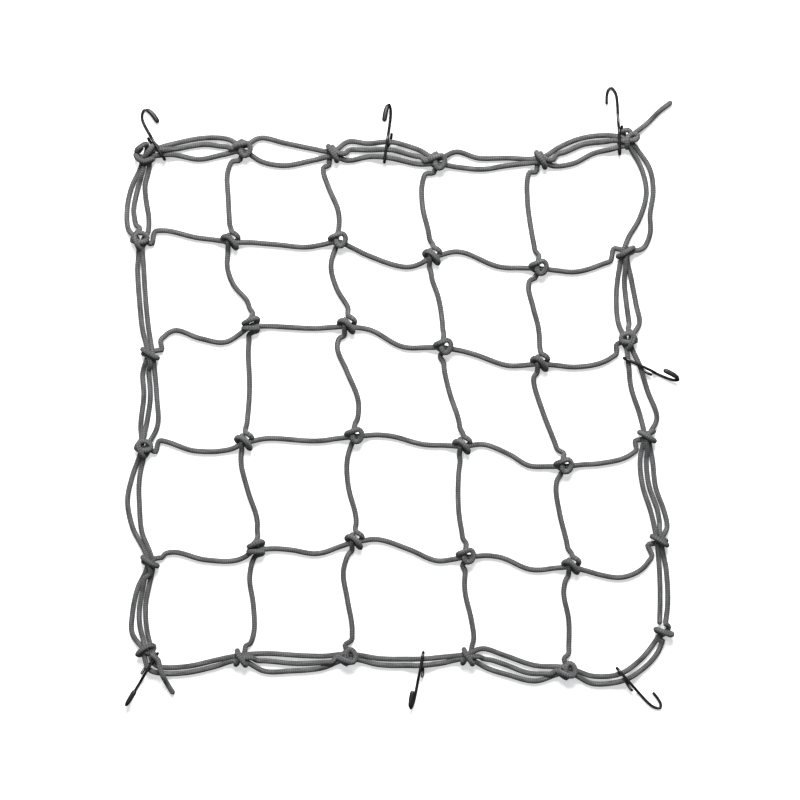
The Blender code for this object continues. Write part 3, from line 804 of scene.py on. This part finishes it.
def woven_sheath_material():
    """Textured polyester yarn, braided over a bundle of rubber: dull black, greyed where yarn stands up as a
    painted highlight and darker in the weave's valleys as painted shade.
    """
    material, tree = new_material("braided_polyester_sheath")
    uv = add_node(tree, "ShaderNodeUVMap", {"uv_map": "sheath"})
    parts = add_node(tree, "ShaderNodeSeparateXYZ", None, {0: uv.outputs[0]})
    # Eight bundles of yarn each way round the cord, and each goes once round in 28 mm.
    bundles, pitch = 8.0, 0.028
    across = add_node(
        tree, "ShaderNodeMath", {"operation": "MULTIPLY"}, {0: parts.outputs["X"], 1: bundles}
    )
    along = add_node(
        tree, "ShaderNodeMath", {"operation": "MULTIPLY"}, {0: parts.outputs["Y"], 1: bundles / pitch}
    )
    picks = []
    for operation in ("ADD", "SUBTRACT"):
        phase = add_node(
            tree, "ShaderNodeMath", {"operation": operation}, {0: across.outputs[0], 1: along.outputs[0]}
        )
        turned = add_node(
            tree, "ShaderNodeMath", {"operation": "MULTIPLY"}, {0: phase.outputs[0], 1: 2 * math.pi}
        )
        wave = add_node(tree, "ShaderNodeMath", {"operation": "SINE"}, {0: turned.outputs[0]})
        picks.append(wave)
    weave = add_node(
        tree, "ShaderNodeMath", {"operation": "MULTIPLY"}, {0: picks[0].outputs[0], 1: picks[1].outputs[0]}
    )
    # Ribs that run along the cord, where the yarn lies over the rubber strands: 0.6 mm wide, 12 mm long.
    stretched = add_node(
        tree, "ShaderNodeVectorMath", {"operation": "MULTIPLY"}, {0: uv.outputs[0], 1: (22.0, 85.0, 1.0)}
    )
    ribs = add_node(
        tree, "ShaderNodeTexNoise", {"noise_dimensions": "3D"},
        {"Vector": stretched.outputs[0], "Scale": 1.0, "Detail": 3.0, "Roughness": 0.6},
    )
    # Wear and dust, in patches of a few centimetres.
    place = add_node(tree, "ShaderNodeTexCoord")
    wear = add_node(
        tree, "ShaderNodeTexNoise", None,
        {"Vector": place.outputs["Object"], "Scale": 38.0, "Detail": 4.0, "Roughness": 0.55},
    )
    # The colour follows the height of the weave and the ribs: painted highlight greys the raised yarn, and
    # painted shade darkens the valleys.
    painted_weave_shading = add_node(
        tree, "ShaderNodeMath", {"operation": "MULTIPLY"}, {0: weave.outputs[0], 1: 0.16}
    )
    both = add_node(
        tree, "ShaderNodeMath", {"operation": "ADD"}, {0: painted_weave_shading.outputs[0], 1: ribs.outputs["Fac"]}
    )
    # From painted shade in the valleys (#232324) to painted highlight on the raised yarn (#767677).
    painted_ridge_shading_ramp = add_node(tree, "ShaderNodeValToRGB", None, {"Fac": both.outputs[0]})
    painted_ridge_shading_ramp.color_ramp.elements[0].position = 0.28
    painted_ridge_shading_ramp.color_ramp.elements[0].color = linear("#232324")
    painted_ridge_shading_ramp.color_ramp.elements[1].position = 0.78
    painted_ridge_shading_ramp.color_ramp.elements[1].color = linear("#767677")
    worn = add_node(
        tree, "ShaderNodeMapRange", None,
        {"Value": wear.outputs["Fac"], "From Min": 0.35, "From Max": 0.7, "To Min": 0.82, "To Max": 1.15},
    )
    tone = add_node(
        tree, "ShaderNodeVectorMath", {"operation": "SCALE"},
        {0: painted_ridge_shading_ramp.outputs["Color"], "Scale": worn.outputs["Result"]},
    )
    heights = add_node(
        tree, "ShaderNodeMath", {"operation": "MULTIPLY_ADD"},
        {0: weave.outputs[0], 1: 0.5, 2: ribs.outputs["Fac"]},
    )
    bump = add_node(
        tree, "ShaderNodeBump", None, {"Strength": 0.55, "Distance": 0.0004, "Height": heights.outputs[0]}
    )
    shader = add_node(
        tree, "ShaderNodeBsdfPrincipled", None,
        {
            "Base Color": tone.outputs[0], "Roughness": 0.78, "Specular IOR Level": 0.3,
            "Sheen Weight": 0.12, "Sheen Roughness": 0.5, "Normal": bump.outputs[0],
        },
    )
    add_node(tree, "ShaderNodeOutputMaterial", None, {"Surface": shader.outputs[0]})
    return material


def coated_wire_material():
    """Steel wire dipped in black vinyl: a smooth gloss with slow waves from the dip."""
    material, tree = new_material("dipped_vinyl_coating")
    place = add_node(tree, "ShaderNodeTexCoord")
    waves = add_node(
        tree, "ShaderNodeTexNoise", None,
        {"Vector": place.outputs["Object"], "Scale": 260.0, "Detail": 2.0, "Roughness": 0.5},
    )
    rough = add_node(
        tree, "ShaderNodeMapRange", None,
        {"Value": waves.outputs["Fac"], "To Min": 0.2, "To Max": 0.38},
    )
    bump = add_node(
        tree, "ShaderNodeBump", None, {"Strength": 0.35, "Distance": 0.0004, "Height": waves.outputs["Fac"]}
    )
    shader = add_node(
        tree, "ShaderNodeBsdfPrincipled", None,
        {
            "Base Color": linear("#131314"), "Roughness": rough.outputs["Result"], "IOR": 1.53,
            "Normal": bump.outputs[0],
        },
    )
    add_node(tree, "ShaderNodeOutputMaterial", None, {"Surface": shader.outputs[0]})
    return material


def moulded_cap_material():
    """Soft vinyl, moulded: black with a satin skin, finely grained."""
    material, tree = new_material("moulded_soft_vinyl")
    place = add_node(tree, "ShaderNodeTexCoord")
    grain = add_node(
        tree, "ShaderNodeTexNoise", None,
        {"Vector": place.outputs["Object"], "Scale": 1400.0, "Detail": 3.0},
    )
    bump = add_node(
        tree, "ShaderNodeBump", None, {"Strength": 0.3, "Distance": 0.0002, "Height": grain.outputs["Fac"]}
    )
    shader = add_node(
        tree, "ShaderNodeBsdfPrincipled", None,
        {"Base Color": linear("#1a1a1b"), "Roughness": 0.48, "IOR": 1.53, "Normal": bump.outputs[0]},
    )
    add_node(tree, "ShaderNodeOutputMaterial", None, {"Surface": shader.outputs[0]})
    return material


_materials = {}


def made(maker):
    """The maker's material, made once."""
    if maker not in _materials:
        _materials[maker] = maker()
    return _materials[maker]


def finish_piece(piece, material, slot, *nodes):
    """Gives a piece its material, hangs it from the root body, and hides the model's nodes that it stands
    for.
    """
    piece.data.materials.clear()
    piece.data.materials.append(material)
    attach(piece, "root")
    if nodes:
        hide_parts(*nodes)


# ---------------------------------------------------------------- pieces


def cord_piece(context, name, line, *nodes):
    """A length of the shock cord along a line, as thick as the settings say."""
    piece = cord_tube(name, line, context.scene.cargo_net.cord.diameter / 2 / MM)
    finish_piece(piece, made(woven_sheath_material), "cord_sheath", *nodes)
    return piece


def hook_wire(name, route, radius):
    """A hook's coated wire along its route."""
    places = [solid(p, max(p.z, radius)) for p in route.between(0.0, route.length, WIRE_STEP)]
    radii = [radius] * len(places)
    radii[0] = radii[-1] = radius * CUT_WIDTH
    wire = bent_rod(name + "_wire", places, radii, WIRE_SIDES)
    finish_piece(wire, made(coated_wire_material), "coated_wire", name)


def hook_cap(name, route, radius):
    """The moulded cap on a hook's tip. It reaches a little past the wire's end."""
    ahead = (route.line[-1] - route.line[-2]).normalized()
    places, radii = [], []
    for along, share in CAP_PROFILE:
        distance = route.length - CAP_LENGTH + along
        place = route.at(min(distance, route.length)) + ahead * max(0.0, distance - route.length)
        places.append(solid(place, max(place.z, radius * share)))
        radii.append(radius * share)
    cap = bent_rod(name + "_cap", places, radii, CAP_SIDES)
    finish_piece(cap, made(moulded_cap_material), "coated_wire")


def area_light(name, location, power, size):
    """A square light that faces the middle of the net."""
    deselect()
    bpy.ops.object.light_add(type="AREA", location=location)
    light = bpy.context.object
    light.name = name
    light.data.energy = power
    light.data.size = size
    light.rotation_euler = Vector(location).to_track_quat("Z", "Y").to_euler()


def studio_floor(colour):
    """The floor that the net lies on, which glows faintly and isn't seen in the net's own reflections."""
    deselect()
    bpy.ops.mesh.primitive_plane_add(size=FLOOR_SIZE, location=(0, 0, 0))
    floor = bpy.context.object
    floor.name = "floor"
    material, tree = new_material("painted_studio_floor")
    shader = add_node(
        tree, "ShaderNodeBsdfPrincipled", None,
        {
            "Base Color": tuple(colour), "Roughness": 0.9,
            "Emission Color": (1, 1, 1, 1), "Emission Strength": FLOOR_GLOW,
        },
    )
    add_node(tree, "ShaderNodeOutputMaterial", None, {"Surface": shader.outputs[0]})
    floor.data.materials.append(material)
    floor.visible_diffuse = False
    floor.visible_glossy = False


# ---------------------------------------------------------------- settings


class CordSettings(bpy.types.PropertyGroup):
    """Sizes of the shock cord."""

    diameter: bpy.props.FloatProperty(
        name="Diameter", description="How thick the cord is", default=2 * RADIUS * MM, unit="LENGTH",
        precision=4,
    )


class HookSettings(bpy.types.PropertyGroup):
    """Sizes of the wire hooks."""

    wire_diameter: bpy.props.FloatProperty(
        name="Wire", description="How thick the coated wire is", default=2 * WIRE_RADIUS * MM,
        unit="LENGTH", precision=4,
    )
    cap_diameter: bpy.props.FloatProperty(
        name="Cap", description="How thick the moulded tip caps are", default=2 * CAP_RADIUS * MM,
        unit="LENGTH", precision=4,
    )


class StageSettings(bpy.types.PropertyGroup):
    """The floor and the light."""

    floor_colour: bpy.props.FloatVectorProperty(
        name="Floor", description="The floor's colour", subtype="COLOR", size=4, default=linear("#f4f4f4")
    )
    key_power: bpy.props.FloatProperty(
        name="Key light", description="The key light's power", default=KEY_POWER, unit="POWER"
    )


class CargoNetSettings(bpy.types.PropertyGroup):
    """All of the net's settings."""

    cord: bpy.props.PointerProperty(type=CordSettings)
    hooks: bpy.props.PointerProperty(type=HookSettings)
    stage: bpy.props.PointerProperty(type=StageSettings)


# ---------------------------------------------------------------- operators


class CARGO_NET_OT_border(bpy.types.Operator):
    """Make the two border strands"""

    bl_idname = "cargo_net.border"
    bl_label = "Border strands"

    def execute(self, context):
        sides = [f"border_{side}" for side in BORDER]
        cord_piece(context, "border_strand_outer", border_strand("outer"), *sides)
        cord_piece(context, "border_strand_inner", border_strand("inner"))
        return {"FINISHED"}


class CARGO_NET_OT_columns(bpy.types.Operator):
    """Make the long cord of the columns"""

    bl_idname = "cargo_net.columns"
    bl_label = "Column cord"

    def execute(self, context):
        nodes = [f"column_{i + 1}" for i in range(len(COLUMNS))]
        nodes += ["run_top_1", "run_top_3", "run_top_5", "run_bottom_2", "run_bottom_4"]
        cord_piece(context, "column_cord", column_cord(), *nodes)
        return {"FINISHED"}


class CARGO_NET_OT_rows(bpy.types.Operator):
    """Make the long cord of the rows"""

    bl_idname = "cargo_net.rows"
    bl_label = "Row cord"

    def execute(self, context):
        nodes = [f"row_{r + 1}_span_{s + 1}" for r in range(len(ROWS)) for s in range(LAST)]
        nodes += ["run_left_1", "run_left_3", "run_left_5", "run_right_2", "run_right_4"]
        cord_piece(context, "row_cord", row_cord(), *nodes)
        return {"FINISHED"}


class CARGO_NET_OT_tails(bpy.types.Operator):
    """Make the two free ends of the long cords"""

    bl_idname = "cargo_net.tails"
    bl_label = "Free ends"

    def execute(self, context):
        for name, places in TAILS.items():
            piece = cord_piece(context, name + "_cord", places, name)
            route = Route(places, TURN_STEPS)
            path = [tuple((p - CENTRE) * MM) for p in route.between(0.0, route.length, RING_STEP)]
            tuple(path[0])
        return {"FINISHED"}


class CARGO_NET_OT_hooks(bpy.types.Operator):
    """Make the wire hooks and their tip caps"""

    bl_idname = "cargo_net.hooks"
    bl_label = "Hooks"

    def execute(self, context):
        settings = context.scene.cargo_net.hooks
        for name, hook in HOOKS.items():
            route = Route(hook_points(hook), TURN_STEPS)
            hook_wire(name, route, settings.wire_diameter / 2 / MM)
            if hook["capped"]:
                hook_cap(name, route, settings.cap_diameter / 2 / MM)
        return {"FINISHED"}


class CARGO_NET_OT_stage(bpy.types.Operator):
    """Make the floor, the lights and the camera"""

    bl_idname = "cargo_net.stage"
    bl_label = "Stage"

    def execute(self, context):
        settings = context.scene.cargo_net.stage
        studio_floor(settings.floor_colour)
        area_light("key_light", KEY_PLACE, settings.key_power, KEY_SIZE)
        area_light("fill_light", FILL_PLACE, FILL_POWER, FILL_SIZE)
        world = bpy.data.worlds.new("studio")
        context.scene.world = world
        world.use_nodes = True
        sky = world.node_tree.nodes["Background"]
        sky.inputs["Color"].default_value = SKY_COLOUR
        sky.inputs["Strength"].default_value = SKY_STRENGTH
        deselect()
        bpy.ops.object.camera_add(location=CAMERA_PLACE, rotation=(0, 0, 0))
        camera = context.object
        camera.name = "camera"
        camera.data.lens = CAMERA_LENS
        camera.data.clip_end = CAMERA_REACH
        context.scene.camera = camera
        context.scene.view_settings.view_transform = "Standard"
        deselect()
        return {"FINISHED"}


class VIEW3D_PT_cargo_net(bpy.types.Panel):
    """The cargo net's pieces and settings"""

    bl_label = "Cargo net"
    bl_idname = "VIEW3D_PT_cargo_net"
    bl_space_type = "VIEW_3D"
    bl_region_type = "UI"
    bl_category = "Cargo net"

    def draw(self, context):
        settings = context.scene.cargo_net
        for group, names in ((settings.cord, ("diameter",)),
                             (settings.hooks, ("wire_diameter", "cap_diameter")),
                             (settings.stage, ("floor_colour", "key_power"))):
            for name in names:
                self.layout.prop(group, name)
        for operator in OPERATORS:
            self.layout.operator(operator.bl_idname)


GROUPS = (CordSettings, HookSettings, StageSettings, CargoNetSettings)
OPERATORS = (
    CARGO_NET_OT_stage,
    CARGO_NET_OT_border,
    CARGO_NET_OT_columns,
    CARGO_NET_OT_rows,
    CARGO_NET_OT_tails,
    CARGO_NET_OT_hooks,
)


def register():
    for cls in (*GROUPS, *OPERATORS, VIEW3D_PT_cargo_net):
        bpy.utils.register_class(cls)
    bpy.types.Scene.cargo_net = bpy.props.PointerProperty(type=CargoNetSettings)


def unregister():
    del bpy.types.Scene.cargo_net
    for cls in reversed((*GROUPS, *OPERATORS, VIEW3D_PT_cargo_net)):
        bpy.utils.unregister_class(cls)


def main():
    register()
    bpy.ops.cargo_net.stage()
    bpy.ops.cargo_net.border()
    bpy.ops.cargo_net.columns()
    bpy.ops.cargo_net.rows()
    bpy.ops.cargo_net.tails()
    bpy.ops.cargo_net.hooks()


if __name__ == "__main__":
    main()
